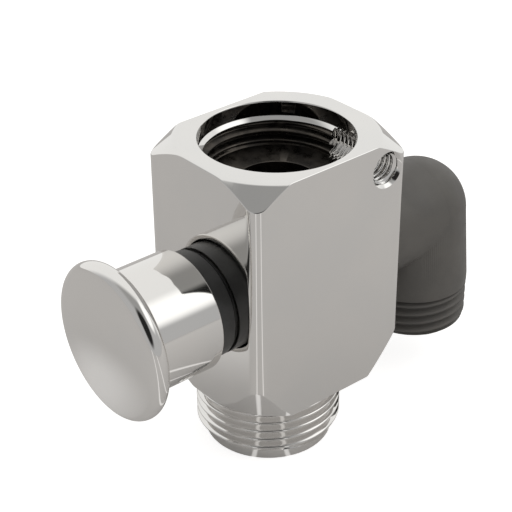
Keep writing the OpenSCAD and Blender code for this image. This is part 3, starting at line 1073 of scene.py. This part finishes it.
@dataclass(frozen=True)
class View:
    """The camera, placed as in the photograph."""

    azimuth: float = 52.604
    elevation: float = 31.796
    roll: float = -1.753
    distance: float = 261.79
    focal: float = 1468.8
    aside: float = -12.453
    above: float = 0.669
    middle_x: float = -49.04
    middle_y: float = 20.33
    target: tuple[float, float, float] = (0.0, INLET_Y, 30.0)
    sensor: float = 36.0

    def make(self) -> None:
        """Adds the camera to the scene."""
        a, e, r = (math.radians(v) for v in (self.azimuth, self.elevation, self.roll))
        back = Vector((math.sin(a) * math.cos(e), -math.cos(a) * math.cos(e), math.sin(e)))
        right = Vector((math.cos(a), math.sin(a), 0.0))
        up = back.cross(right)
        right, up = right * math.cos(r) + up * math.sin(r), up * math.cos(r) - right * math.sin(r)
        spot = Vector(self.target) + back * self.distance + right * self.aside + up * self.above
        camera = bpy.data.cameras.new("view")
        camera.lens = self.focal * self.sensor / PHOTO_SIDE
        camera.sensor_width = self.sensor
        camera.shift_x = -self.middle_x / PHOTO_SIDE
        camera.shift_y = self.middle_y / PHOTO_SIDE
        camera.clip_start = 0.01
        holder = bpy.data.objects.new("view", camera)
        turn = Matrix((right, up, back)).transposed().to_4x4()
        holder.matrix_world = Matrix.Translation(spot * MM) @ turn
        bpy.context.scene.collection.objects.link(holder)
        bpy.context.scene.camera = holder


@dataclass(frozen=True)
class Card:
    """A patch of the studio as the plating sees it.

    Attributes:
        towards: direction in which it lies.
        reach: half its width, in degrees.
        blur: how far its edge spreads, in degrees.
        level: its brightness.
    """

    towards: tuple[float, float, float]
    reach: float
    blur: float
    level: float


@dataclass(frozen=True)
class Streak:
    """A narrow bright strip of floor that runs away from the valve, as the plating sees it.

    Attributes:
        azimuth: its direction about the valve, in degrees from +X towards +Y.
        reach: half its width, in degrees.
        level: what it adds to the floor's brightness.
    """

    azimuth: float
    reach: float
    level: float


@dataclass(frozen=True)
class Pool:
    """A round patch of light on the floor, as the plating sees it.

    Attributes:
        centre: its place on the floor, in millimetres.
        reach: its radius, in millimetres.
        level: what it adds to the floor's brightness.
    """

    centre: tuple[float, float]
    reach: float
    level: float


@dataclass(frozen=True)
class Studio:
    """A pale floor, a white surround and plain soft light."""

    ambient: float = 0.82
    floor_colour: Colour = (0.56, 0.545, 0.53)
    floor_glow: float = 0.75
    cards: tuple[Card, ...] = (
        Card((0.0, 0.0, 1.0), 30.0, 25.0, 0.36),
        Card((-0.75, 0.58, 0.33), 62.0, 22.0, 0.95),
        Card((0.53, 0.52, 0.68), 9.0, 17.0, 1.35),
        Card((0.675, -0.516, 0.527), 18.0, 12.0, 0.02),
    )
    streaks: tuple[Streak, ...] = (
        Streak(-53.5, 1.6, 0.42),
        Streak(-21.5, 1.6, 0.42),
    )
    pools: tuple[Pool, ...] = (
        Pool((-27.0, -47.0), 16.0, 0.22),
    )
    surround: float = 0.5

    def world(self) -> None:
        """Lights the scene from all round; the camera sees white, and the plating sees the cards."""
        world = bpy.data.worlds.new("surround")
        bpy.context.scene.world = world
        world.use_nodes = True
        nodes = Nodes(world.node_tree)
        towards = nodes.add("ShaderNodeTexCoord").outputs["Generated"]
        shade: object = rgba((self.surround,) * 3)
        for card in self.cards:
            aim = nodes.add("ShaderNodeVectorMath", operation="DOT_PRODUCT")
            nodes.tree.links.new(towards, aim.inputs[0])
            aim.inputs[1].default_value = Vector(card.towards).normalized()
            share = nodes.ramp(
                aim.outputs["Value"],
                math.cos(math.radians(card.reach + card.blur)), math.cos(math.radians(card.reach)), 0.0, 1.0,
            )
            shade = nodes.blend(share, shade, rgba((card.level, card.level, card.level * 0.985)))
        rays = nodes.add("ShaderNodeLightPath").outputs
        mirrored = nodes.math("MAXIMUM", rays["Is Glossy Ray"], rays["Is Transmission Ray"])
        lit = nodes.blend(mirrored, rgba((self.ambient,) * 3), shade)
        seen = nodes.blend(rays["Is Camera Ray"], lit, rgba((1.0, 1.0, 1.0)))
        light = nodes.add("ShaderNodeBackground", {"Color": seen, "Strength": 1.0})
        nodes.add("ShaderNodeOutputWorld", {"Surface": light.outputs[0]})

    def floor(self) -> None:
        """Adds the floor: white to the camera with the valve's shadow on it, pale grey in the plating."""
        draft = Draft()
        draft.loft([
            Spindle(Axis.UPRIGHT).tip(0.0) - np.array([0.0, 0.0, 0.02]),
            Spindle(Axis.UPRIGHT, (0.0, 0.0, 0.0)).ring(1500.0, -0.02, even_angles(64)),
        ])
        floor = draft.build("floor")
        for face in floor.data.polygons:
            if face.normal.z < 0.0:
                face.flip()
        material = bpy.data.materials.new("floor")
        material.use_nodes = True
        nodes = Nodes(material.node_tree)
        rays = nodes.add("ShaderNodeLightPath").outputs
        duller = tuple(0.97 * part for part in self.floor_colour)
        paper = nodes.blend(nodes.noise(9.0, 3.0), rgba(self.floor_colour), rgba(duller))
        matt = nodes.add("ShaderNodeBsdfDiffuse", {"Color": paper})
        mirrored = nodes.math("MAXIMUM", rays["Is Glossy Ray"], rays["Is Transmission Ray"])
        strength = nodes.math(
            "ADD", nodes.math("MULTIPLY", rays["Is Camera Ray"], self.floor_glow),
            nodes.math("MULTIPLY", mirrored, self.floor_lights(nodes)),
        )
        glow = nodes.add("ShaderNodeEmission", {"Color": rgba((1.0, 1.0, 1.0)), "Strength": strength})
        both = nodes.add("ShaderNodeAddShader", {0: matt.outputs[0], 1: glow.outputs[0]})
        nodes.add("ShaderNodeOutputMaterial", {"Surface": both.outputs[0]})
        floor.data.materials.append(material)

    def floor_lights(self, nodes: Nodes) -> bpy.types.NodeSocket:
        """The floor's own brightness in the plating: an even part, the streaks and the pools.

        Args:
            nodes: the floor material's nodes.

        Returns:
            The brightness.
        """
        spot = nodes.add("ShaderNodeNewGeometry").outputs["Position"]
        flat = nodes.add(
            "ShaderNodeVectorMath", {0: spot, 1: (1.0, 1.0, 0.0)}, operation="MULTIPLY"
        ).outputs[0]
        way = nodes.add("ShaderNodeVectorMath", {0: flat}, operation="NORMALIZE").outputs[0]
        total: object = 0.04
        for streak in self.streaks:
            a, r = math.radians(streak.azimuth), math.radians(streak.reach)
            along = nodes.add(
                "ShaderNodeVectorMath", {0: way, 1: (math.cos(a), math.sin(a), 0.0)}, operation="DOT_PRODUCT"
            ).outputs["Value"]
            share = nodes.ramp(along, math.cos(2.0 * r), math.cos(0.3 * r), 0.0, streak.level)
            total = nodes.math("ADD", share, total)
        for pool in self.pools:
            away = nodes.add(
                "ShaderNodeVectorMath", {0: flat, 1: (pool.centre[0] * MM, pool.centre[1] * MM, 0.0)},
                operation="DISTANCE",
            ).outputs["Value"]
            share = nodes.ramp(away, 0.2 * pool.reach * MM, 1.6 * pool.reach * MM, pool.level, 0.0)
            total = nodes.math("ADD", share, total)
        return total

    def lamp(
        self, name: str, towards: tuple[float, float, float], distance: float, size: float, level: float
    ) -> None:
        """Adds a square soft lamp that faces the valve.

        Args:
            name: the lamp's name.
            towards: direction in which it lies.
            distance: how far it is, in metres.
            size: its side, in metres.
            level: how bright its face is.
        """
        lamp = bpy.data.lights.new(name, "AREA")
        lamp.shape = "SQUARE"
        lamp.size = size
        lamp.energy = level * math.pi * size * size
        holder = bpy.data.objects.new(name, lamp)
        aim = Vector(towards).normalized()
        holder.matrix_world = (
            Matrix.Translation(aim * distance + Vector((0.0, 0.0, 0.03)))
            @ aim.to_track_quat("Z", "Y").to_matrix().to_4x4()
        )
        holder.visible_glossy = False
        bpy.context.scene.collection.objects.link(holder)

    def make(self) -> None:
        """Sets up the surround, the floor and the lamps."""
        bpy.context.scene.view_settings.view_transform = "Standard"
        self.world()
        self.floor()
        self.lamp("soft_box", (0.53, 0.52, 0.68), 0.7, 0.38, 1.7)


def corners(box: tuple[Vector, Vector]) -> list[list[float]]:
    """A box as plain lists of numbers."""
    return [list(map(float, corner)) for corner in box]


def main() -> None:
    """Builds the valve's looks and the studio around them."""
    logging.basicConfig(level=logging.INFO, format="%(name)s: %(message)s")
    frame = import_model()
    View().make()
    shop = Workshop()
    ValveBody().make(shop)
    Knob().make(shop)
    Collar().make(shop)
    Elbow().make(shop)
    ReturnSpring().make(shop)
    for name, finish in INNER_FINISHES.items():
        shop.redress(frame["nodes"][name], finish)
        log.info("%s: %s", name, finish.name)
    Studio().make()


if __name__ == "__main__":
    main()
